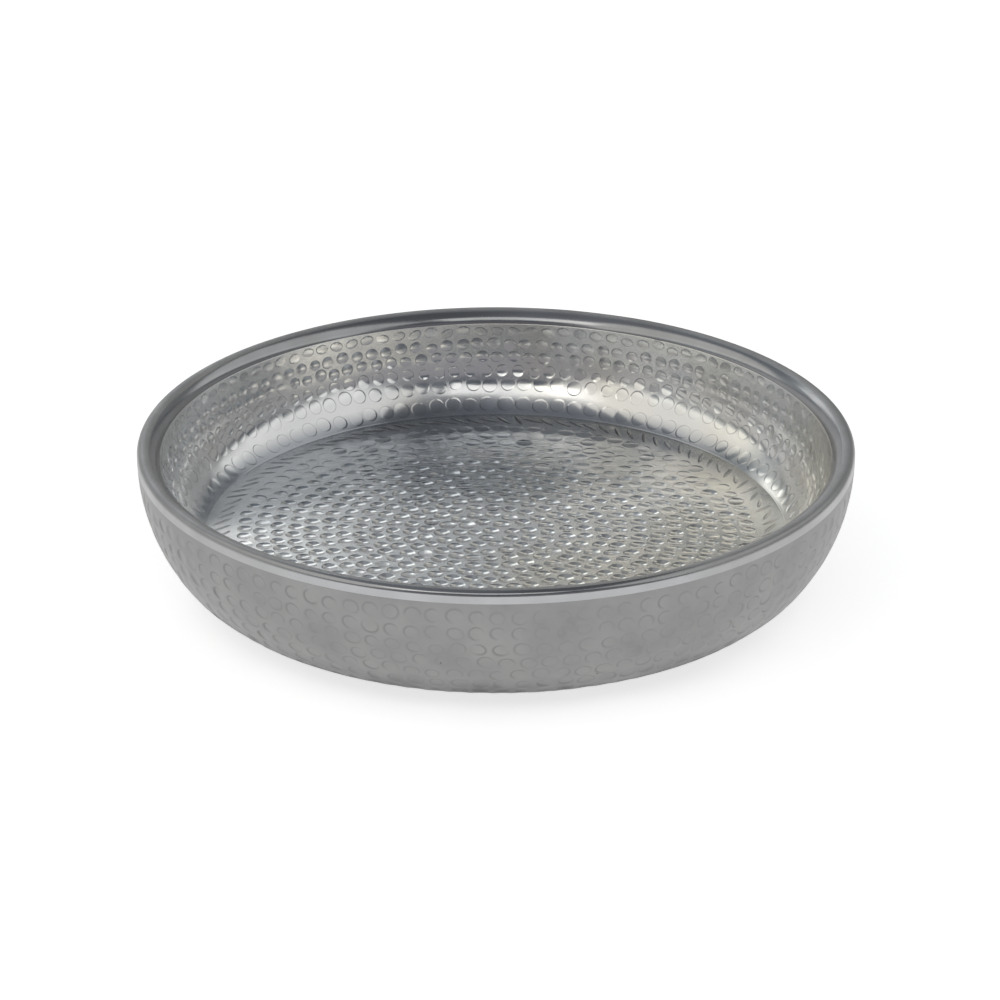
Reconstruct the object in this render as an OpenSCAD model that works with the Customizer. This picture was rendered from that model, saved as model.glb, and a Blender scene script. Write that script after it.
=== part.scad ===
// Hammered double-walled paten dish.
// An inner liner and an outer shell stand one inside the other, with air between them. A rim ring
// joins their top edges, and a base plate with a plugged vent closes the shell underneath.
// The origin is the centre of the resting face, on the axis of the dish. +Z is up.

/* [Overall] */
// Diameter across the rim
overall_d = 240; // [220:1:260]
// Height from the resting face to the crest of the rim
overall_h = 49; // [48:0.5:54]

/* [Rim ring] */
// Radial width of the rim
rim_w = 7.6; // [7:0.1:9]
// Height of the rounded head above the two walls
rim_h = 4.1; // [3.6:0.1:4.6]
// Radius of the rounding along the outer edge of the head
rim_edge_r = 2; // [1:0.1:2.5]
// Depth of the tongue that stands between the two walls
tongue_h = 3; // [2:0.5:4]

/* [Liner] */
// Diameter of the flat floor
floor_d = 196.8; // [190:0.4:200]
// Height of the floor's upper face above the resting face
floor_z = 15.5; // [12:0.5:18]
// Lean of the straight upper wall away from upright, in degrees
wall_lean = 8; // [6:1:10]
// Radius of the cove between the upper wall and the floor
cove_r = 25; // [22:1:30]

/* [Outer shell] */
// Radius of the turn that carries the side under to the base
turn_r = 30; // [24:1:32]
// Angle that the upper side bows through before the turn begins, in degrees
side_angle = 35; // [30:1:40]
// Width of the flat flange that the dish rests on
flange_w = 9; // [6:0.5:12]

/* [Base] */
// Width of the base plate's border that lies on the flange
plate_lap = 5; // [3:0.5:6]
// Diameter of the vent through the base plate
vent_d = 4; // [3:0.5:5]
// Diameter of the plug's head
plug_head_d = 8; // [7:0.5:10]

/* [Sheet] */
// Thickness of the liner, the shell and the base plate
sheet_t = 1.2; // [0.8:0.1:1.4]
// Clearance on each side of the tongue, filled with solder
solder_gap = 0.15; // [0.1:0.05:0.2]

/* [Hidden] */
$fn = 144;
arc_step = 4;

outer_r = overall_d / 2;
wall_top_z = overall_h - rim_h;

// Liner: a straight upper wall, tangent to a cove that ends at the edge of the floor.
liner_top_r = outer_r - rim_w;
wall_angle = 90 - wall_lean;
wall_dir = [cos(wall_angle), sin(wall_angle)];
wall_normal = [-sin(wall_angle), cos(wall_angle)];
wall_top = [liner_top_r, wall_top_z];
floor_edge = [floor_d / 2, floor_z];
edge_from_top = floor_edge - wall_top;
edge_along = edge_from_top * wall_dir;
edge_across = edge_from_top * wall_normal;
wall_l = -edge_along - sqrt(edge_along ^ 2 - edge_from_top * edge_from_top + 2 * cove_r * edge_across);
cove_top = wall_top - wall_l * wall_dir;
cove_centre = cove_top + cove_r * wall_normal;
floor_edge_angle = asin((floor_edge.x - cove_centre.x) / cove_r);
liner_outer_top_r = liner_top_r + sheet_t / cos(wall_lean);
floor_under_z = floor_z - sheet_t;
cove_outer_r = cove_r + sheet_t;
cove_under_angle = acos((cove_centre.y - floor_under_z) / cove_outer_r);

// Outer shell: two tangent arcs, from upright under the rim to level at the flange.
side_r = turn_r + (wall_top_z - turn_r) / sin(side_angle);
side_centre = [outer_r - side_r, wall_top_z];
turn_centre = side_centre + (side_r - turn_r) * [cos(side_angle), -sin(side_angle)];
flange_inner_r = turn_centre.x - flange_w;

// Rim ring: the inner round of the head is tangent to level at the crest.
crest_r = outer_r - rim_edge_r;
head_run = rim_w - rim_edge_r;
head_r = (head_run ^ 2 + rim_h ^ 2) / (2 * rim_h);
head_sweep = acos((head_r - rim_h) / head_r);
tongue_inner_r = liner_outer_top_r + solder_gap;
tongue_outer_r = outer_r - sheet_t - solder_gap;

// Base: the plate lies on the flange from inside, and the plug's head stays above the resting face.
plate_r = flange_inner_r + plate_lap;
plug_head_h = sheet_t / 2;
plug_upset_h = 0.8;
plug_upset_d = vent_d + 1.6;

// Points along an arc, from angle a0 to a1, both included.
function arc(centre, r, a0, a1) =
    let (count = ceil(abs(a1 - a0) / arc_step))
    [for (i = [0:count]) let (a = a0 + (a1 - a0) * i / count) centre + r * [cos(a), sin(a)]];

// The liner's wall and floor in section, from the axis out and back.
module liner() {
    color([0.79, 0.80, 0.80])
    rotate_extrude()
    polygon(concat(
        [[0, floor_z]],
        arc(cove_centre, cove_r, floor_edge_angle - 90, wall_angle - 90),
        [wall_top, [liner_outer_top_r, wall_top_z]],
        arc(cove_centre, cove_outer_r, wall_angle - 90, cove_under_angle - 90),
        [[0, floor_under_z]]
    ));
}

// The shell's side, the turn under it and the flange that the dish rests on.
module outer_shell() {
    color([0.60, 0.61, 0.60])
    rotate_extrude()
    polygon(concat(
        arc(side_centre, side_r, 0, -side_angle),
        arc(turn_centre, turn_r, -side_angle, -90),
        [[flange_inner_r, 0], [flange_inner_r, sheet_t]],
        arc(turn_centre, turn_r - sheet_t, -90, -side_angle),
        arc(side_centre, side_r - sheet_t, -side_angle, 0)
    ));
}

// A solid ring with a rounded head that covers both walls and a tongue between them.
module rim_ring() {
    color([0.74, 0.75, 0.77])
    rotate_extrude()
    polygon(concat(
        arc([crest_r, overall_h - head_r], head_r, 90 + head_sweep, 90),
        arc([crest_r, overall_h - rim_edge_r], rim_edge_r, 90, 0),
        [
            [outer_r, wall_top_z],
            [tongue_outer_r, wall_top_z],
            [tongue_outer_r, wall_top_z - tongue_h],
            [tongue_inner_r, wall_top_z - tongue_h],
            [tongue_inner_r, wall_top_z]
        ]
    ));
}

// A flat disc laid on the flange inside the shell, bored for the vent.
module base_plate() {
    color([0.66, 0.67, 0.67])
    translate([0, 0, sheet_t])
    difference() {
        cylinder(r = plate_r, h = sheet_t);
        translate([0, 0, -sheet_t]) cylinder(d = vent_d, h = 3 * sheet_t);
    }
}

// A rivet-like plug: a low head below the plate, a shank in the vent and an upset end above.
module vent_plug() {
    color([0.66, 0.67, 0.67])
    union() {
        translate([0, 0, sheet_t - plug_head_h]) cylinder(d = plug_head_d, h = plug_head_h);
        translate([0, 0, sheet_t - plug_head_h]) cylinder(d = vent_d, h = plug_head_h + sheet_t + plug_upset_h);
        translate([0, 0, 2 * sheet_t]) cylinder(d = plug_upset_d, h = plug_upset_h);
    }
}

liner();
outer_shell();
rim_ring();
base_plate();
vent_plug();
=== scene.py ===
"""A hammered double-walled paten dish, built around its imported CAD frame. Lengths are in metres.

The liner, the outer shell and the rim ring are rebuilt with their real surfaces: every hammer mark
is a dimple in the mesh. The base plate and its plug keep their CAD shapes and get their finish here.
"""

import math
from collections import namedtuple

import bmesh
import bpy
import numpy as np
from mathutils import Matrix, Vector, kdtree
from mathutils.geometry import delaunay_2d_cdt


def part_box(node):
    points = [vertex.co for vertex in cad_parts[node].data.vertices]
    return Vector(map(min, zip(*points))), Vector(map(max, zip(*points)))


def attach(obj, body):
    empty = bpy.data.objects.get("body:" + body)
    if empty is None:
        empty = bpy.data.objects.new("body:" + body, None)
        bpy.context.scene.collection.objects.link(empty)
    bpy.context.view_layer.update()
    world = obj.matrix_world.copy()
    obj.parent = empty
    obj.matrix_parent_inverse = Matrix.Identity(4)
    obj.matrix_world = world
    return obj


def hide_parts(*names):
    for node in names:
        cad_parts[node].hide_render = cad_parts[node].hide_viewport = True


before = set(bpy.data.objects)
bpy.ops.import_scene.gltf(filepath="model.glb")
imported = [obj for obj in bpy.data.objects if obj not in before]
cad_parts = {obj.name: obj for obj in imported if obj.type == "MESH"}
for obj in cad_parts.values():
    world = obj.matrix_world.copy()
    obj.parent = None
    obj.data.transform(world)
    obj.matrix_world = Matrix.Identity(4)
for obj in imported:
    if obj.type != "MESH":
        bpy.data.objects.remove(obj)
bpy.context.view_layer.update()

MM = 0.001
TAU = 2 * math.pi

# ---------------------------------------------------------------- sizes taken from the frame
rim_low, rim_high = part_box("rim_ring")
liner_low, liner_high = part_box("liner")
plate_low, plate_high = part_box("base_plate")

OUTER_R = rim_high.x
HEIGHT = rim_high.z
WALL_TOP_Z = liner_high.z
RIM_H = HEIGHT - WALL_TOP_Z
TONGUE_Z = rim_low.z
SHEET_T = plate_high.z - plate_low.z
FLOOR_Z = liner_low.z + SHEET_T

# ---------------------------------------------------------------- sizes shared with part.scad
RIM_EDGE_R = 2 * MM
WALL_LEAN = math.radians(8)
COVE_R = 25 * MM
FLOOR_R = 98.4 * MM
TURN_R = 30 * MM
SIDE_ANGLE = math.radians(35)
FLANGE_W = 9 * MM
SOLDER_GAP = 0.15 * MM

WALL_ANGLE = math.pi / 2 - WALL_LEAN
LINER_TOP_R = liner_high.x - SHEET_T / math.cos(WALL_LEAN)
TONGUE_IN_R = liner_high.x + SOLDER_GAP
TONGUE_OUT_R = OUTER_R - SHEET_T - SOLDER_GAP

# The rounded seam where the liner meets the rim.
SEAM_W = 0.25 * MM

# ---------------------------------------------------------------- mesh density
ROUND_STEPS = 480
RIM_STEPS = 720

# The rings of points round the centre of a mark: share of the mark's size, and number of points.
MARK_RINGS = ((0.5, 6), (0.88, 14), (1.0, 18))

# Loose points on the land: distance apart, and how far they stay from a mark and from a line.
LAND_PITCH = 2.2 * MM
LAND_TO_MARK = 0.25 * MM
LAND_TO_LINE = 0.35 * MM

# A surface's swell fades out over this length at both ends of its section.
SWELL_FADE = 2 * MM


# ================================================================ sections
class Section:
    """A section line of straight and round stretches, read by the length s from its start."""

    def __init__(self, start_r, flat_to):
        """start_r places the start in the flat layout; marks below flat_to lie on a flat disc."""
        self.start_r = start_r
        self.flat_to = flat_to
        self.parts = []
        self.length = 0.0

    def line(self, start, end, normal):
        start, end = np.array(start), np.array(end)
        length = float(np.linalg.norm(end - start))
        along = (end - start) / length
        normal = np.array(normal, float)

        def trace(t):
            place = start[:, None] + along[:, None] * t
            return place, np.repeat(normal[:, None], t.size, axis=1)

        self.parts.append((self.length, trace))
        self.length += length

    def arc(self, centre, radius, a0, a1, face):
        """face is 1 where the visible side looks away from the centre, -1 where it faces it."""
        way = math.copysign(1 / radius, a1 - a0)
        centre = np.array(centre)

        def trace(t):
            ray = np.array([np.cos(a0 + way * t), np.sin(a0 + way * t)])
            return centre[:, None] + radius * ray, face * ray

        self.parts.append((self.length, trace))
        self.length += radius * abs(a1 - a0)

    def at(self, s):
        """Radius, height, and the two parts of the visible side's normal, at each length in s."""
        s = np.atleast_1d(np.asarray(s, float))
        out = np.zeros((4, s.size))
        for start, trace in self.parts:
            here = s >= start
            place, normal = trace(s[here] - start)
            out[:2, here] = place
            out[2:, here] = normal
        return out

    def radius(self, s):
        return float(self.at(s)[0, 0])

    def in_space(self, s, theta):
        """Points and normals in space."""
        r, z, nr, nz = self.at(s)
        cos, sin = np.cos(theta), np.sin(theta)
        return np.stack([r * cos, r * sin, z], 1), np.stack([nr * cos, nr * sin, nz], 1)

    def frame(self, s, theta):
        """The directions round the dish and up the section at one place."""
        across = np.array([-math.sin(theta), math.cos(theta), 0])
        (low, high), _ = self.in_space([s - 1e-6, s + 1e-6], theta)
        return across, (high - low) / np.linalg.norm(high - low)


def unit(angle):
    return np.array([math.cos(angle), math.sin(angle)])


def cove_geometry():
    """The cove's centre, the point where the straight wall meets it and its angle at the floor."""
    along, normal = unit(WALL_ANGLE), unit(WALL_ANGLE + math.pi / 2)
    top = np.array([LINER_TOP_R, WALL_TOP_Z])
    chord = np.array([FLOOR_R, FLOOR_Z]) - top
    reach = chord @ along
    wall_l = -reach - math.sqrt(reach**2 - chord @ chord + 2 * COVE_R * (chord @ normal))
    cove_top = top - wall_l * along
    centre = cove_top + COVE_R * normal
    return centre, cove_top, math.asin((FLOOR_R - centre[0]) / COVE_R) - math.pi / 2


def liner_section():
    """The liner's upper face, from the axis over the floor, up the cove and the upper wall."""
    centre, cove_top, edge_angle = cove_geometry()
    section = Section(0.0, FLOOR_R)
    section.line((0, FLOOR_Z), (FLOOR_R, FLOOR_Z), (0, 1))
    section.arc(centre, COVE_R, edge_angle, WALL_ANGLE - math.pi / 2, -1)
    section.line(cove_top, (LINER_TOP_R, WALL_TOP_Z), unit(WALL_ANGLE + math.pi / 2))
    return section


def side_geometry():
    """The radius and centre of the shell's bowed side, and the centre of the turn below it."""
    side_r = TURN_R + (WALL_TOP_Z - TURN_R) / math.sin(SIDE_ANGLE)
    side_centre = np.array([OUTER_R - side_r, WALL_TOP_Z])
    return side_r, side_centre, side_centre + (side_r - TURN_R) * unit(-SIDE_ANGLE)


def shell_section():
    """The shell's outer face, from the inner edge of the flange, round the turn and up the side."""
    side_r, side_centre, turn_centre = side_geometry()
    flange_r = turn_centre[0] - FLANGE_W
    section = Section(flange_r, 0.0)
    section.line((flange_r, 0), (turn_centre[0], 0), (0, -1))
    section.arc(turn_centre, TURN_R, -math.pi / 2, -SIDE_ANGLE, 1)
    section.arc(side_centre, side_r, -SIDE_ANGLE, 0, 1)
    return section


def arc_points(centre, radius, a0, a1, count):
    """Points (r, z) along an arc, both ends included."""
    return [tuple(centre + radius * unit(a)) for a in np.linspace(a0, a1, count)]


# ================================================================ uneven surfaces
class Ripple:
    """A smooth random swell made of plane waves. It only ever lowers a surface."""

    def __init__(self, seed, count, shortest, longest, depth):
        rng = np.random.default_rng(seed)
        ways = rng.normal(size=(count, 3))
        ways /= np.linalg.norm(ways, axis=1)[:, None]
        self.waves = ways * (TAU / rng.uniform(shortest, longest, count))[:, None]
        self.phases = rng.uniform(0, TAU, count)
        self.depth = depth

    def at(self, points):
        swell = np.cos(points @ self.waves.T + self.phases).sum(axis=1)
        return self.depth * np.minimum(0.4 * swell / math.sqrt(len(self.phases)) - 1, 0)

    def gradient(self, points):
        steep = -np.sin(points @ self.waves.T + self.phases) @ self.waves
        return self.depth * 0.4 * steep / math.sqrt(len(self.phases))


# ================================================================ hammer marks
# A tool leaves a mark with a half width round the dish, a half height up the section, a dished
# bottom, a step of its own height and width at the outline, a turn, a random tilt, a steady lean
# that sinks one side of every mark deeper than the other, and a darkening of its bottom that is
# partly dirt and partly painted shade.
Tool = namedtuple(
    "Tool", "half_w half_h dish step step_w turn tilt lean_u lean_v grime", defaults=(0.0, 0.0, 0.0)
)

# Marks that had to shrink below this share of their size are left out.
SMALLEST_SHARE = 0.4

# One mark is a row of these columns.
S, THETA, A, B, TURN, DISH, STEP, STEP_W, TILT_U, TILT_V, SOIL_AND_SHADE = range(11)


def strike(rng, s, theta, tool):
    """One mark with the small differences that a hand-held hammer leaves."""
    scale = 1 + rng.normal(0, 0.035)
    force = max(0.35, 1 + rng.normal(0, 0.25))
    return (
        s,
        theta,
        tool.half_w * scale,
        tool.half_h * scale * (1 + rng.normal(0, 0.05)),
        tool.turn + rng.normal(0, 0.2),
        tool.dish * force,
        tool.step * force,
        tool.step_w,
        rng.normal(tool.lean_u, tool.tilt),
        rng.normal(tool.lean_v, tool.tilt),
        tool.grime,
    )


def mark_ring(rng, section, s, pitch, tool, wander, shift=(0.0, 0.0)):
    """A ring of marks about pitch apart at length s. shift moves the ring off the axis."""
    count = max(3, round(TAU * section.radius(s) / pitch))
    phase = rng.uniform(0, TAU)
    marks = []
    for k in range(count):
        theta = phase + TAU * (k + rng.normal(0, 0.03)) / count
        reach = s + rng.normal(0, wander)
        if any(shift):
            x = reach * math.cos(theta) + shift[0]
            y = reach * math.sin(theta) + shift[1]
            reach, theta = math.hypot(x, y), math.atan2(y, x)
        marks.append(strike(rng, reach, theta, tool))
    return marks


def extent(mark, du, dv):
    """How far a mark reaches from its centre towards an offset (du, dv)."""
    angle = math.atan2(dv, du) - mark[TURN]
    return 1 / math.hypot(math.cos(angle) / mark[A], math.sin(angle) / mark[B]) + mark[STEP_W]


def nearest_marks(centres):
    tree = kdtree.KDTree(len(centres))
    for i, centre in enumerate(centres):
        tree.insert(centre, i)
    tree.balance()
    return tree


def settle(section, marks, gap, keep_off):
    """Shrinks marks until none touches another or a line in keep_off, and drops the tiny ones."""
    table = np.array(marks)
    centres, _ = section.in_space(table[:, S], table[:, THETA])
    tree = nearest_marks(centres)
    scale = np.ones(len(table))
    for i, centre in enumerate(centres):
        across = np.array([-math.sin(table[i, THETA]), math.cos(table[i, THETA]), 0])
        for _, j, distance in tree.find_n(centre, 8):
            if j == i:
                continue
            du = (centres[j] - centre) @ across
            dv = math.copysign(math.sqrt(max(distance**2 - du**2, 0)), table[j, S] - table[i, S])
            reach = extent(table[i], du, dv) + extent(table[j], du, dv)
            scale[i] = min(scale[i], (distance - gap) / reach)
    for line in keep_off:
        room = np.abs(table[:, S] - line) - gap
        scale = np.minimum(scale, room / (table[:, B] + table[:, STEP_W]))
    for half in (A, B):
        table[:, half] = (table[:, half] + table[:, STEP_W]) * scale - table[:, STEP_W]
    table[:, DISH] *= scale
    return table[scale > SMALLEST_SHARE]


def rotated(x, y, turn):
    cos, sin = math.cos(turn), math.sin(turn)
    return x * cos - y * sin, x * sin + y * cos


def outline(section, mark, share, steps, grow=0.0):
    """One ring of points round a mark: lengths, angles, and offsets (u, v) and (x, y).

    u runs round the dish and v up the section. x and y are the same before the mark's turn.
    """
    a = TAU * np.arange(steps) / steps
    x = (mark[A] * share + grow) * np.cos(a)
    y = (mark[B] * share + grow) * np.sin(a)
    u, v = rotated(x, y, mark[TURN])
    if mark[S] >= section.flat_to:
        return mark[S] + v, mark[THETA] + u / section.radius(mark[S]), u, v, x, y
    cos, sin = math.cos(mark[THETA]), math.sin(mark[THETA])
    px = (mark[S] + v) * cos - u * sin
    py = (mark[S] + v) * sin + u * cos
    return np.hypot(px, py), np.arctan2(py, px), u, v, x, y


# ================================================================ relief meshes
class Cloud:
    """The points of a marked face before they are joined.

    Each has its length and angle, how far it drops below the smooth face, how far it counts as
    mark and as outline for the material, and the slope of its drop as a vector in space.
    """

    def __init__(self):
        self.rows = []
        self.edges = []
        self.count = 0

    def put(self, s, theta, drop=0.0, mark=0.0, edge=0.0, slope=(0.0, 0.0, 0.0), closed=False):
        """Adds points, joined into a loop where closed. Returns the index of the first."""
        first, n = self.count, len(s)
        rows = np.empty((n, 8))
        for column, values in enumerate((s, theta, drop, mark, edge)):
            rows[:, column] = values
        rows[:, 5:] = slope
        self.rows.append(rows)
        if closed:
            self.edges.extend((first + k, first + (k + 1) % n) for k in range(n))
        self.count += n
        return first


def put_marks(cloud, section, marks):
    for mark in marks:
        dish, step = mark[DISH], mark[STEP]
        across, up = section.frame(mark[S], mark[THETA])
        tilt = mark[TILT_U] * across + mark[TILT_V] * up
        cloud.put([mark[S]], [mark[THETA]], dish + step, 1.0, mark[SOIL_AND_SHADE], tilt)
        for share, steps in MARK_RINGS:
            s, theta, u, v, x, y = outline(section, mark, share, steps)
            drop = dish * (1 - share**2) + mark[TILT_U] * u + mark[TILT_V] * v + step
            drop = np.maximum(drop, 0)
            steep = np.full(steps, 2 * dish)
            # The edge share darkens the mark in the material, partly dirt and partly painted shade.
            # At the outline it grows with the drop, so the deeper side of a leaning mark is darker.
            edge = mark[SOIL_AND_SHADE]
            if share == 1.0:
                steep = (steep + drop * mark[A] / mark[STEP_W]) / 2
                edge = np.maximum(edge, np.minimum(drop / (1.5 * step), 1))
            fall_u, fall_v = rotated(x / mark[A] ** 2, y / mark[B] ** 2, mark[TURN])
            slope = tilt - np.outer(steep * fall_u, across) - np.outer(steep * fall_v, up)
            cloud.put(s, theta, drop, 1.0, edge, slope, closed=share == 1.0)
        s, theta, *_ = outline(section, mark, 1.0, MARK_RINGS[-1][1], mark[STEP_W])
        cloud.put(s, theta, closed=True)


def put_land(cloud, section, marks, lines, seed):
    """Loose points on the smooth land, none of them near a mark or a line."""
    rng = np.random.default_rng(seed)
    centres, _ = section.in_space(marks[:, S], marks[:, THETA])
    tree = nearest_marks(centres)
    clear = np.maximum(marks[:, A], marks[:, B]) + marks[:, STEP_W] + LAND_TO_MARK
    kept = []
    for ring in np.arange(LAND_PITCH / 2, section.length, LAND_PITCH):
        count = max(1, round(TAU * section.radius(ring) / LAND_PITCH))
        s = ring + rng.uniform(-0.3, 0.3, count) * LAND_PITCH
        theta = TAU * (np.arange(count) + rng.uniform(-0.3, 0.3, count)) / count
        s = np.clip(s, 0, section.length)
        places, _ = section.in_space(s, theta)
        for k, place in enumerate(places):
            if min(abs(line - s[k]) for line in lines) < LAND_TO_LINE:
                continue
            if all(distance > clear[j] for _, j, distance in tree.find_n(place, 3)):
                kept.append((s[k], theta[k]))
    s, theta = np.array(kept).T
    cloud.put(s, theta)


def put_lines(cloud, section, lines):
    """Rings that run round the dish, each (length, drop, slope up the section)."""
    around = TAU * np.arange(ROUND_STEPS) / ROUND_STEPS
    starts = []
    for s, drop, steep in lines:
        slope = [steep * section.frame(s, theta)[1] for theta in around]
        starts.append(cloud.put(np.full(ROUND_STEPS, s), around, drop, slope=slope, closed=True))
    return starts


Relief = namedtuple("Relief", "points faces normals mark edge rings")


def relief(section, marks, lines, ripple, seed):
    """Joins a marked face.

    The face is laid out flat in polar form and joined by a Delaunay triangulation that keeps the
    outline of every mark. The normals are worked out from the slopes, so outlines stay crisp.
    """
    cloud = Cloud()
    put_marks(cloud, section, marks)
    starts = put_lines(cloud, section, lines)
    put_land(cloud, section, marks, [line[0] for line in lines], seed)

    rows = np.concatenate(cloud.rows)
    rho = (section.start_r + rows[:, 0]) / MM
    flat = np.stack([rho * np.cos(rows[:, 1]), rho * np.sin(rows[:, 1])], 1)
    placed, _, faces, origin, _, _ = delaunay_2d_cdt(
        [Vector(p) for p in flat.tolist()], cloud.edges, [], 0, 1e-6
    )
    placed = np.array([tuple(p) for p in placed])
    first = np.array([o[0] if o else -1 for o in origin])
    crossed = first < 0
    rows = rows[first]
    rows[crossed] = 0
    rows[crossed, 0] = np.hypot(*placed[crossed].T) * MM - section.start_r
    rows[crossed, 1] = np.arctan2(placed[crossed, 1], placed[crossed, 0])

    s = np.clip(rows[:, 0], 0, section.length)
    points, out = section.in_space(s, rows[:, 1])
    fade = np.clip(np.minimum(s, section.length - s) / SWELL_FADE, 0, 1)
    swell = ripple.gradient(points) * fade[:, None]
    swell -= (swell * out).sum(axis=1)[:, None] * out
    normals = out + rows[:, 5:] - swell
    normals /= np.linalg.norm(normals, axis=1)[:, None]
    points = points + out * (ripple.at(points) * fade - rows[:, 2])[:, None]

    # The triangles with all three corners on the first ring fill the hole inside it.
    faces = np.array(faces)
    inside = (rows[faces, 0] > 0).any(axis=1)
    place_of = np.full(cloud.count, -1)
    place_of[first[~crossed]] = np.flatnonzero(~crossed)
    rings = [place_of[start + np.arange(ROUND_STEPS)] for start in starts]
    return Relief(points, faces[inside], normals, rows[:, 3], rows[:, 4], rings)


# ================================================================ whole pieces
def bridge(ring_a, ring_b):
    """Quads from one ring of indices to the next."""
    return np.stack([ring_a, ring_b, np.roll(ring_b, -1), np.roll(ring_a, -1)], 1)


def add_rings(points, profile, steps):
    """Adds one ring of points for each (r, z) in profile. Returns the points and the rings."""
    angles = TAU * np.arange(steps) / steps
    rings, fresh, total = [], [points], len(points)
    for r, z in profile:
        fresh.append(np.stack([r * np.cos(angles), r * np.sin(angles), np.full(steps, z)], 1))
        rings.append(total + np.arange(steps))
        total += steps
    return np.concatenate(fresh), rings


def close_at_axis(points, ring, z):
    """Adds a point on the axis. Returns the points and the fan of triangles that ends there."""
    tip = np.full(len(ring), len(points))
    fan = np.stack([ring, tip, np.roll(ring, -1)], 1)
    return np.concatenate([points, [[0, 0, z]]]), fan.tolist()


def make_piece(name, slot, points, faces, face, material):
    """A smooth-shaded piece on the frame that stands for the CAD node of the same name.

    face is the Relief that the first points and triangles come from, or None. Its normals are
    used on those triangles only, and the back keeps the mesh's.
    """
    mesh = bpy.data.meshes.new(name)
    mesh.from_pydata(points.tolist(), [], faces)
    shape = bmesh.new()
    shape.from_mesh(mesh)
    bmesh.ops.recalc_face_normals(shape, faces=shape.faces)
    shape.to_mesh(mesh)
    shape.free()
    mesh.polygons.foreach_set("use_smooth", [True] * len(mesh.polygons))
    mesh.set_sharp_from_angle(angle=math.radians(40))
    if face:
        corners = np.zeros(len(mesh.loops), int)
        mesh.loops.foreach_get("vertex_index", corners)
        normals = np.zeros((len(corners), 3))
        marked = 3 * len(face.faces)
        normals[:marked] = face.normals[corners[:marked]]
        mesh.normals_split_custom_set(normals.tolist())
        for label, shares in (("mark", face.mark), ("edge", face.edge)):
            values = np.zeros(len(points), np.float32)
            values[:len(shares)] = shares
            mesh.attributes.new(label, "FLOAT", "POINT").data.foreach_set("value", values)
    mesh.materials.append(material)
    piece = bpy.data.objects.new(name + "_visual", mesh)
    bpy.context.scene.collection.objects.link(piece)
    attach(piece, "root")
    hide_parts(name)


# ================================================================ liner
FLOOR_RING_R = 3.2 * MM
FLOOR_RING_STEP = 5.85 * MM
FLOOR_RINGS = 15
FLOOR_PITCH = 6.15 * MM
FLOOR_TOOL = Tool(3.0 * MM, 2.85 * MM, 0.38 * MM, 0.04 * MM, 0.16 * MM, 0.0, 0.035)
OUTER_FLOOR_FROM = 74 * MM
OUTER_FLOOR_TOOL = FLOOR_TOOL._replace(dish=0.3 * MM)

# The middle of the floor's rings lies off the axis, and they drift back to it by this radius.
RINGS_OFF_AXIS = (-4 * MM, -5 * MM)
RINGS_CENTRED_R = 80 * MM

# A ring of long narrow strokes runs round the edge of the floor.
STROKE_R = 92.8 * MM
STROKE_PITCH = 5.3 * MM
STROKE_TURN = math.radians(40)
# The strokes are painted dark right through, partly dirt and partly a painted dark reflection.
STROKE_TOOL = Tool(4.0 * MM, 0.55 * MM, 0.1 * MM, 0.05 * MM, 0.22 * MM, STROKE_TURN, 0.02, grime=2.0)
WALL_TOOL = Tool(2.2 * MM, 1.95 * MM, 0.2 * MM, 0.08 * MM, 0.22 * MM, 0.0, 0.05, 0, 0.035)
COVE_TOOL = Tool(2.6 * MM, 2.5 * MM, 0.045 * MM, 0.08 * MM, 0.28 * MM, 0.0, 0.015)

# The floor is worn at the back: its marks fade between these distances behind the middle. The
# strokes and all that lies further out stay as struck.
WORN_FROM_TO = (10 * MM, 75 * MM)
WORN_SHARE = 0.4
WORN_WITHIN = STROKE_R - 3 * MM

# The strokes are painted dark at the back only, partly dirt and partly a painted dark reflection.
# In front of this stretch they keep the small share.
DARK_STROKES_FROM_TO = (55 * MM, 88 * MM)
DARK_STROKES_SHARE = 0.2

# The rows on the wall: distance below the rim's seam, pitch and tool.
WALL_ROWS = (
    (2.6 * MM, 6.0 * MM, Tool(2.3 * MM, 1.5 * MM, 0.04 * MM, 0.09 * MM, 0.3 * MM, 0.0, 0.02)),
    (7.8 * MM, 5.7 * MM, WALL_TOOL),
    (12.3 * MM, 5.6 * MM, WALL_TOOL),
    (17.3 * MM, 5.7 * MM, WALL_TOOL._replace(half_h=2.1 * MM, dish=0.14 * MM, lean_v=0)),
    (22.2 * MM, 6.1 * MM, COVE_TOOL),
    (30.0 * MM, 6.3 * MM, COVE_TOOL._replace(half_w=2.7 * MM, half_h=2.7 * MM)),
)


def liner_marks(section):
    rng = np.random.default_rng(11)
    marks = []
    for i in range(FLOOR_RINGS):
        s = FLOOR_RING_R + i * FLOOR_RING_STEP
        off = max(0, 1 - s / RINGS_CENTRED_R)
        shift = [off * part for part in RINGS_OFF_AXIS]
        tool = FLOOR_TOOL if s < OUTER_FLOOR_FROM else OUTER_FLOOR_TOOL
        marks += mark_ring(rng, section, s, FLOOR_PITCH, tool, 0.22 * MM, shift)
    marks += mark_ring(rng, section, STROKE_R, STROKE_PITCH, STROKE_TOOL, 0.3 * MM)
    for below, pitch, tool in WALL_ROWS:
        marks += mark_ring(rng, section, section.length - below, pitch, tool, 0.3 * MM)
    table = settle(section, marks, 0.03 * MM, (FLOOR_R, section.length))
    behind = table[:, S] * np.sin(table[:, THETA])
    floor = table[:, S] < WORN_WITHIN
    table[floor, DISH] *= np.interp(behind[floor], WORN_FROM_TO, (1, WORN_SHARE))
    table[:, SOIL_AND_SHADE] *= np.interp(behind, DARK_STROKES_FROM_TO, (DARK_STROKES_SHARE, 1))
    return table


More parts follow.
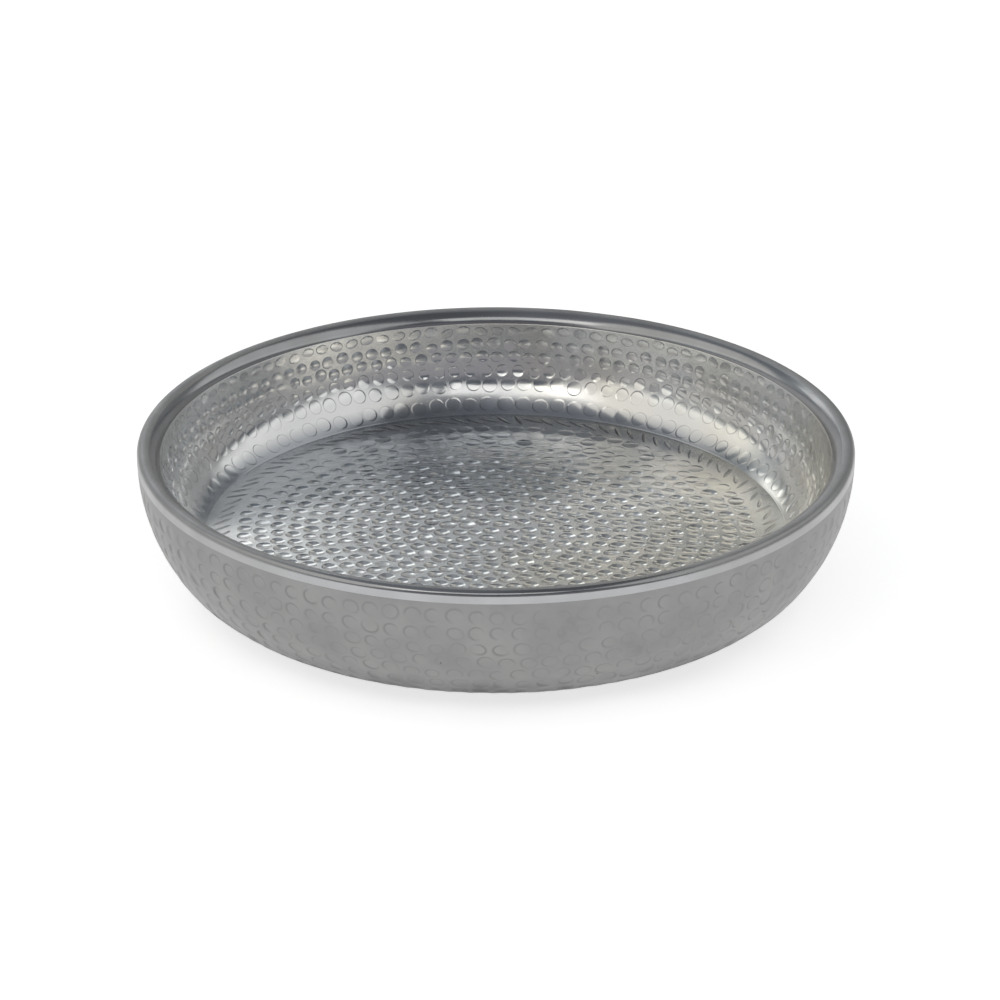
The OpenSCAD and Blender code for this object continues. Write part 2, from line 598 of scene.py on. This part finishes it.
def groove(s, half_w, depth):
    """The lines of a groove that runs round the dish at length s."""
    steep = depth / half_w
    return (
        (s - half_w, 0, 0),
        (s - half_w / 2, depth / 2, steep),
        (s, depth, 0),
        (s + half_w / 2, depth / 2, -steep),
        (s + half_w, 0, 0),
    )


def liner_mesh():
    """The hammered upper face, a crease round the floor and the smooth underside."""
    section = liner_section()
    seam = section.length
    lines = groove(FLOOR_R, 0.5 * MM, 0.08 * MM)
    lines += ((seam - SEAM_W, 0, 0), (seam - SEAM_W / 2, 0.3 * SEAM_W, 0.7), (seam, 0.8 * SEAM_W, 0))
    ripple = Ripple(3, 40, 7 * MM, 24 * MM, 0.06 * MM)
    face = relief(section, liner_marks(section), lines, ripple, 21)
    centre, _, _ = cove_geometry()
    reach = COVE_R + SHEET_T
    under_z = FLOOR_Z - SHEET_T
    under_angle = math.acos((centre[1] - under_z) / reach) - math.pi / 2
    back = [(liner_high.x, WALL_TOP_Z)]
    back += arc_points(centre, reach, WALL_ANGLE - math.pi / 2, under_angle, 12)
    points, backs = add_rings(face.points, back, ROUND_STEPS)
    faces = face.faces.tolist()
    for ring, following in zip([face.rings[-1]] + backs, backs):
        faces += bridge(ring, following).tolist()
    points, fan = close_at_axis(points, backs[-1], under_z)
    return points, faces + fan, face


# ================================================================ outer shell
SHELL_TOOL = Tool(2.75 * MM, 2.5 * MM, 0.15 * MM, 0.12 * MM, 0.85 * MM, 0.0, 0.035, -0.035, 0.03)
SHELL_PITCH = 6.8 * MM
SHELL_ROW_STEP = 6.2 * MM

# The rows start this far below the rim and end this far from the inner edge of the flange.
SHELL_TOP_BAND = 5 * MM
SHELL_LOW_S = 18 * MM

# The marks nearest the rim are nearly polished away within the first angle from the front, and
# keep the second share of their depth beyond the second angle.
SHELL_TOP_ROWS = 8 * MM
POLISHED_ANGLES = (0.3, 0.7)
POLISHED_SHARES = (0.1, 0.9)


def shell_marks(section):
    rng = np.random.default_rng(5)
    marks = []
    for s in np.arange(section.length - SHELL_TOP_BAND, SHELL_LOW_S, -SHELL_ROW_STEP):
        marks += mark_ring(rng, section, s, SHELL_PITCH, SHELL_TOOL, 0.3 * MM)
    table = settle(section, marks, 0.02 * MM, ())
    top = table[:, S] > section.length - SHELL_TOP_ROWS
    from_front = np.abs(np.angle(np.exp(1j * (table[top, THETA] + math.pi / 2))))
    fade = np.interp(from_front, POLISHED_ANGLES, POLISHED_SHARES)
    for column in (DISH, STEP, TILT_U, TILT_V):
        table[top, column] *= fade
    return table


def shell_mesh():
    """The hammered outer face, the inner face and the flange."""
    section = shell_section()
    lines = ((0, 0, 0), (FLANGE_W, 0, 0), (section.length, 0, 0))
    ripple = Ripple(9, 30, 12 * MM, 40 * MM, 0.08 * MM)
    face = relief(section, shell_marks(section), lines, ripple, 31)
    side_r, side_centre, turn_centre = side_geometry()
    back = arc_points(side_centre, side_r - SHEET_T, 0, -SIDE_ANGLE, 8)
    back += arc_points(turn_centre, TURN_R - SHEET_T, -SIDE_ANGLE, -math.pi / 2, 8)[1:]
    back.append((section.start_r, SHEET_T))
    points, backs = add_rings(face.points, back, ROUND_STEPS)
    faces = face.faces.tolist()
    for ring, following in zip([face.rings[-1]] + backs, backs + [face.rings[0]]):
        faces += bridge(ring, following).tolist()
    return points, faces, face


# ================================================================ rim ring
def rim_mesh():
    """A solid ring: a head with a long inner round and a short outer one, on a tongue."""
    run = OUTER_R - RIM_EDGE_R - LINER_TOP_R
    head_r = (run**2 + RIM_H**2) / (2 * RIM_H)
    sweep = math.acos((head_r - RIM_H) / head_r)
    crest_r = OUTER_R - RIM_EDGE_R
    head_centre = np.array([crest_r, HEIGHT - head_r])
    seam_angle = math.pi / 2 + sweep - SEAM_W / head_r
    profile = arc_points(head_centre, head_r, seam_angle, math.pi / 2, 20)
    profile += arc_points((crest_r, HEIGHT - RIM_EDGE_R), RIM_EDGE_R, math.pi / 2, 0, 10)[1:]
    shown = len(profile)
    profile += [
        (OUTER_R, WALL_TOP_Z),
        (TONGUE_OUT_R, WALL_TOP_Z),
        (TONGUE_OUT_R, TONGUE_Z),
        (TONGUE_IN_R, TONGUE_Z),
        (TONGUE_IN_R, WALL_TOP_Z),
        (LINER_TOP_R + 0.8 * SEAM_W, WALL_TOP_Z),
    ]
    points, rings = add_rings(np.zeros((0, 3)), profile, RIM_STEPS)
    faces = []
    for ring, following in zip(rings, rings[1:] + rings[:1]):
        faces += bridge(ring, following).tolist()
    head = points[:shown * RIM_STEPS]
    swell = Ripple(17, 40, 14 * MM, 45 * MM, 0.1 * MM).at(head)
    along = np.repeat(np.linspace(0, math.pi, shown), RIM_STEPS)
    head[:, 2] += swell * np.sin(along)
    return points, faces, None


# ================================================================ materials
def node(tree, kind, inputs=None, output=0, **settings):
    """Adds a shader node, sets or links its inputs, and returns one of its outputs."""
    made = tree.nodes.new("ShaderNode" + kind)
    for key, value in settings.items():
        setattr(made, key, value)
    for key, value in (inputs or {}).items():
        if isinstance(value, bpy.types.NodeSocket):
            tree.links.new(value, made.inputs[key])
        else:
            made.inputs[key].default_value = value
    return made.outputs[output]


def noise(tree, place, scale, detail=3.0, rough=0.55):
    inputs = {"Vector": place, "Scale": scale, "Detail": detail, "Roughness": rough}
    return node(tree, "TexNoise", inputs)


def span(tree, value, low, high, start=0.0, end=1.0):
    """Maps value from low..high to start..end, held at both ends."""
    inputs = {"Value": value, "From Min": low, "From Max": high, "To Min": start, "To Max": end}
    return node(tree, "MapRange", inputs)


def axes(tree, place):
    """The parts of a vector, read as axes["X"] and so on."""
    parts = tree.nodes.new("ShaderNodeSeparateXYZ")
    tree.links.new(place, parts.inputs[0])
    return parts.outputs


def sums(tree, kind, a, b):
    return node(tree, "Math", {0: a, 1: b}, operation=kind)


def mixed(tree, share, first, second, blend="MIX"):
    """The first colour blended with the second by share."""
    inputs = {"Fac": share, "Color1": first, "Color2": second}
    return node(tree, "MixRGB", inputs, blend_type=blend)


def tones(tree, value, stops):
    """A colour between the stops (position, colour)."""
    made = tree.nodes.new("ShaderNodeValToRGB")
    tree.links.new(value, made.inputs[0])
    ramp = made.color_ramp
    while len(ramp.elements) < len(stops):
        ramp.elements.new(0.5)
    for element, (position, colour) in zip(ramp.elements, stops):
        element.position = position
        element.color = (*colour, 1)
    return made.outputs[0]


def bump(tree, height, distance, normal=None):
    inputs = {"Height": height, "Distance": distance, "Strength": 1.0}
    if normal is not None:
        inputs["Normal"] = normal
    return node(tree, "Bump", inputs)


def start_metal(name):
    """A metallic material. Returns it with its tree, its shader node and the object's coordinates."""
    material = bpy.data.materials.new(name)
    material.use_nodes = True
    tree = material.node_tree
    shader = tree.nodes["Principled BSDF"]
    shader.inputs["Metallic"].default_value = 1.0
    place = node(tree, "TexCoord", output="Object")
    return material, tree, shader, place


def finish_metal(tree, shader, colour, roughness, normal):
    tree.links.new(colour, shader.inputs["Base Color"])
    tree.links.new(roughness, shader.inputs["Roughness"])
    tree.links.new(normal, shader.inputs["Normal"])


def turned_place(tree, place):
    """The radius as X and the height as Z, for lines that run round the axis."""
    parts = axes(tree, place)
    flat = node(tree, "CombineXYZ", {"X": parts["X"], "Y": parts["Y"]})
    radius = node(tree, "VectorMath", {0: flat}, output="Value", operation="LENGTH")
    return node(tree, "CombineXYZ", {"X": radius, "Z": parts["Z"]})


# The dark of mark outlines and strokes: partly dirt, partly painted shade.
OUTLINE_DIRT_AND_SHADE = (0.16, 0.16, 0.16, 1)


def liner_metal():
    """Polished hammered metal: bright mark bottoms on a slightly hazier land.

    A weak warm tint of tarnished metal lies in patches, and a painted warm reflection adds to it on
    the right. The back of the floor is painted darker, a painted dark reflection.
    """
    material, tree, shader, place = start_metal("liner_metal")
    parts = axes(tree, place)
    mark = node(tree, "Attribute", output="Fac", attribute_name="mark")
    edge = node(tree, "Attribute", output="Fac", attribute_name="edge")
    haze = noise(tree, place, 90, 4)
    cloud = noise(tree, place, 25, 3)
    patch = noise(tree, place, 14, 3, 0.6)
    fine = noise(tree, place, 1500, 4, 0.65)

    bright = tones(tree, cloud, [(0.3, (0.86, 0.865, 0.87)), (0.7, (0.92, 0.925, 0.925))])
    # Painted warm reflection: the warm tint grows towards the right, on top of real tarnish patches.
    side = span(tree, parts["X"], -0.03, 0.09, -0.08, 0.12)
    tarnish_and_warm_reflection = span(tree, sums(tree, "ADD", patch, side), 0.48, 0.68, 0, 0.6)
    clean = mixed(tree, tarnish_and_warm_reflection, bright, (0.88, 0.84, 0.74, 1))

    # Painted dark reflection: the back of the floor is painted darker, where it would reflect the
    # dark upper back wall.
    behind = sums(tree, "SUBTRACT", parts["Y"], sums(tree, "MULTIPLY", parts["X"], 0.25))
    drift = sums(tree, "ADD", behind, span(tree, cloud, 0.3, 0.7, -0.02, 0.02))
    rear_dark_mask = span(tree, drift, 0.01, 0.052)
    low = span(tree, parts["Z"], FLOOR_Z + 1 * MM, FLOOR_Z + 4 * MM, 0.75, 0)
    rear_painted_dark = mixed(tree, sums(tree, "MULTIPLY", rear_dark_mask, low), clean, (0.33, 0.36, 0.40, 1))
    # Dark mark outlines and strokes from the edge share: partly dirt, partly painted shade and
    # painted dark reflection.
    colour = mixed(tree, sums(tree, "MULTIPLY", edge, 0.42), rear_painted_dark, OUTLINE_DIRT_AND_SHADE)

    land = span(tree, haze, 0.3, 0.7, 0.16, 0.27)
    cut = span(tree, mark, 0, 1, 0, 0.07)
    normal = bump(tree, fine, 0.006 * MM)
    finish_metal(tree, shader, colour, sums(tree, "SUBTRACT", land, cut), normal)
    return material


def shell_metal():
    """Satin metal: soft clouding, a fine matt grain, a few tiny dark pits, painted shade darker
    below.
    """
    material, tree, shader, place = start_metal("shell_metal")
    height = axes(tree, place)["Z"]
    edge = node(tree, "Attribute", output="Fac", attribute_name="edge")
    cloud = noise(tree, place, 55, 4)
    fine = noise(tree, place, 2200, 3, 0.7)
    spots = node(tree, "TexVoronoi", {"Vector": place, "Scale": 90.0})
    pit = span(tree, spots, 0.015, 0.026, 1, 0)

    # Painted shade: the satin colour darkens towards the bottom, standing in for the shadowed floor
    # it faces there.
    cloud_and_low_shade = sums(tree, "ADD", cloud, span(tree, height, 3 * MM, 15 * MM, -0.56, 0))
    stops = [(0.0, (0.12, 0.12, 0.12)), (0.36, (0.265, 0.265, 0.265)), (0.7, (0.335, 0.335, 0.33))]
    # The mark outlines are darkened, more on the deeper side of each leaning mark: partly dirt,
    # partly painted shade.
    grime_and_shade_lines = sums(tree, "MULTIPLY", edge, span(tree, cloud, 0.4, 0.6, 0.15, 0.6))
    lined = mixed(tree, grime_and_shade_lines, tones(tree, cloud_and_low_shade, stops), OUTLINE_DIRT_AND_SHADE)
    colour = mixed(tree, pit, lined, (0.16, 0.13, 0.11, 1))

    satin = span(tree, cloud, 0.3, 0.7, 0.38, 0.47)
    roughness = sums(tree, "ADD", satin, sums(tree, "MULTIPLY", pit, 0.3))
    normal = bump(tree, fine, 0.012 * MM)
    normal = bump(tree, sums(tree, "MULTIPLY", pit, -1.0), 0.12 * MM, normal)
    finish_metal(tree, shader, colour, roughness, normal)
    return material


def rim_metal():
    """Metal buffed along the inside of the rim and at the front, and satin elsewhere."""
    material, tree, shader, place = start_metal("rim_metal")
    turned = turned_place(tree, place)
    radius = axes(tree, turned)["X"]
    lines = noise(tree, turned, 2600, 3, 0.6)
    cloud = noise(tree, place, 60, 3)
    patch = noise(tree, place, 14, 2)

    drift = sums(tree, "ADD", axes(tree, place)["Y"], span(tree, patch, 0.3, 0.7, -0.02, 0.02))
    front = span(tree, drift, -0.082, -0.108)
    inner = span(tree, radius, OUTER_R - 3.6 * MM, OUTER_R - 4.6 * MM)
    buffed = sums(tree, "MAXIMUM", front, inner)

    crest = span(tree, radius, OUTER_R - 0.5 * MM, OUTER_R - 1.8 * MM)
    satin = tones(tree, crest, [(0.0, (0.45, 0.45, 0.45)), (1.0, (0.56, 0.56, 0.565))])
    clean = mixed(tree, buffed, satin, (0.44, 0.445, 0.455, 1))
    colour = mixed(tree, span(tree, cloud, 0.35, 0.65, 0, 0.3), clean, (0.3, 0.3, 0.3, 1))

    grain = span(tree, buffed, 0, 1, 0.38, 0.14)
    haze = sums(tree, "ADD", span(tree, cloud, 0.3, 0.7, 0, 0.05), grain)
    roughness = sums(tree, "ADD", haze, span(tree, lines, 0.3, 0.7, 0, 0.03))
    finish_metal(tree, shader, colour, roughness, bump(tree, lines, 0.004 * MM))
    return material


def base_metal():
    """Turned metal: fine circular tool lines and light clouding."""
    material, tree, shader, place = start_metal("base_metal")
    turned = turned_place(tree, place)
    lines = noise(tree, turned, 1400, 3, 0.6)
    cloud = noise(tree, place, 50, 4)
    colour = tones(tree, cloud, [(0.3, (0.50, 0.50, 0.49)), (0.7, (0.58, 0.58, 0.57))])
    satin = span(tree, cloud, 0.3, 0.7, 0.30, 0.40)
    roughness = sums(tree, "ADD", satin, span(tree, lines, 0.3, 0.7, 0, 0.08))
    finish_metal(tree, shader, colour, roughness, bump(tree, lines, 0.03 * MM))
    return material


# ================================================================ pieces
make_piece("liner", "liner_metal", *liner_mesh(), liner_metal())
make_piece("outer_shell", "shell_metal", *shell_mesh(), shell_metal())
make_piece("rim_ring", "rim_metal", *rim_mesh(), rim_metal())

turned_finish = base_metal()
for name in ("base_plate", "vent_plug"):
    for slot in bpy.data.objects[name].material_slots:
        slot.material = turned_finish


# ================================================================ stage, lights and camera
STUDIO_HALF_W = 4


def add_floor():
    """A plain white floor that glows a little, so that it stays white under the soft light."""
    mesh = bpy.data.meshes.new("floor")
    half = STUDIO_HALF_W
    corners = [(-half, -half, 0), (half, -half, 0), (half, half, 0), (-half, half, 0)]
    mesh.from_pydata(corners, [], [(0, 1, 2, 3)])
    floor = bpy.data.objects.new("floor", mesh)
    bpy.context.scene.collection.objects.link(floor)
    material = bpy.data.materials.new("floor_paper")
    material.use_nodes = True
    shader = material.node_tree.nodes["Principled BSDF"]
    shader.inputs["Base Color"].default_value = (0.9, 0.9, 0.9, 1)
    shader.inputs["Roughness"].default_value = 0.9
    shader.inputs["Specular IOR Level"].default_value = 0.0
    shader.inputs["Emission Color"].default_value = (1, 1, 1, 1)
    shader.inputs["Emission Strength"].default_value = 0.68
    mesh.materials.append(material)


def direction(azimuth, elevation):
    """A unit vector. Azimuth 0 is the front (-Y) and 90 the right (+X), in degrees."""
    a, e = math.radians(azimuth), math.radians(elevation)
    return Vector((math.sin(a) * math.cos(e), -math.cos(a) * math.cos(e), math.sin(e)))


def add_softbox(name, azimuth, elevation, distance, width, height, glow, colour=(1, 1, 1)):
    """A soft light panel that faces the dish. glow is how bright its face looks."""
    light = bpy.data.lights.new(name, "AREA")
    light.shape = "RECTANGLE"
    light.size = width
    light.size_y = height
    light.energy = glow * math.pi * width * height
    light.color = colour
    lamp = bpy.data.objects.new(name, light)
    lamp.location = distance * direction(azimuth, elevation)
    lamp.rotation_euler = lamp.location.to_track_quat("Z", "Y").to_euler()
    bpy.context.scene.collection.objects.link(lamp)


# Tones of the surroundings by height, from level (0) to straight up (1).
BACKDROP = (
    (0.00, (0.46, 0.46, 0.46)),
    (0.31, (0.46, 0.46, 0.46)),
    (0.335, (0.10, 0.11, 0.13)),
    (0.36, (0.10, 0.11, 0.13)),
    (0.385, (0.39, 0.41, 0.42)),
    (0.52, (0.36, 0.38, 0.39)),
    (0.62, (0.19, 0.21, 0.23)),
    (0.86, (0.23, 0.24, 0.26)),
    (1.00, (0.19, 0.20, 0.22)),
)
ROOM = (
    (0.00, (0.26, 0.255, 0.27)),
    (0.45, (0.26, 0.255, 0.27)),
    (0.56, (0.07, 0.08, 0.10)),
    (1.00, (0.12, 0.13, 0.15)),
)


def set_world():
    """Studio surroundings: a pale backdrop behind, dimmer on the right, and a dim room in front."""
    world = bpy.data.worlds.new("studio")
    bpy.context.scene.world = world
    world.use_nodes = True
    tree = world.node_tree
    parts = axes(tree, node(tree, "TexCoord", output="Generated"))
    dimming = span(tree, parts["X"], -0.06, 0.08, 1.13, 0.66)
    backdrop = mixed(tree, 1.0, tones(tree, parts["Z"], BACKDROP), dimming, "MULTIPLY")
    room = tones(tree, parts["Z"], ROOM)
    colour = mixed(tree, span(tree, parts["Y"], -0.85, -0.35), room, backdrop)
    tree.links.new(colour, tree.nodes["Background"].inputs["Color"])
    tree.nodes["Background"].inputs["Strength"].default_value = 1.0


# The camera stands off from this centre and looks at the aim.
CAMERA_CENTRE = Vector((0, 0, 46.8 * MM))
CAMERA_AIM = Vector((1.34 * MM, 0, 25.9 * MM))
CAMERA_DISTANCE = 1.3408
CAMERA_ELEVATION = 23.55


def add_camera():
    """A long lens in front of the dish and above it."""
    camera = bpy.data.cameras.new("camera")
    camera.sensor_width = 36
    camera.lens = 144
    camera.clip_end = 50
    eye = bpy.data.objects.new("camera", camera)
    eye.location = CAMERA_CENTRE + CAMERA_DISTANCE * direction(0, CAMERA_ELEVATION)
    eye.rotation_euler = (CAMERA_AIM - eye.location).to_track_quat("-Z", "Y").to_euler()
    bpy.context.scene.collection.objects.link(eye)
    bpy.context.scene.camera = eye


add_floor()
set_world()
add_softbox("key", -10, 55.5, 2.6, 2.0, 0.9, 0.88, (1.0, 0.99, 0.95))
add_softbox("left", -78, 48, 2.6, 3.8, 1.8, 0.53, (1.0, 0.95, 0.86))
add_softbox("right", 92, 47, 2.6, 4.0, 1.9, 0.53, (1.0, 0.985, 0.95))
add_softbox("back_left", -160, 31, 1.6, 0.75, 0.25, 0.85, (1.0, 1.0, 0.97))
add_softbox("back_right", 168, 39, 1.6, 0.5, 0.22, 0.45, (1.0, 0.93, 0.78))
add_softbox("warm", 176.5, 24.5, 1.5, 0.08, 0.05, 1.0, (1.0, 0.88, 0.66))
add_camera()
bpy.context.scene.view_settings.view_transform = "Standard"
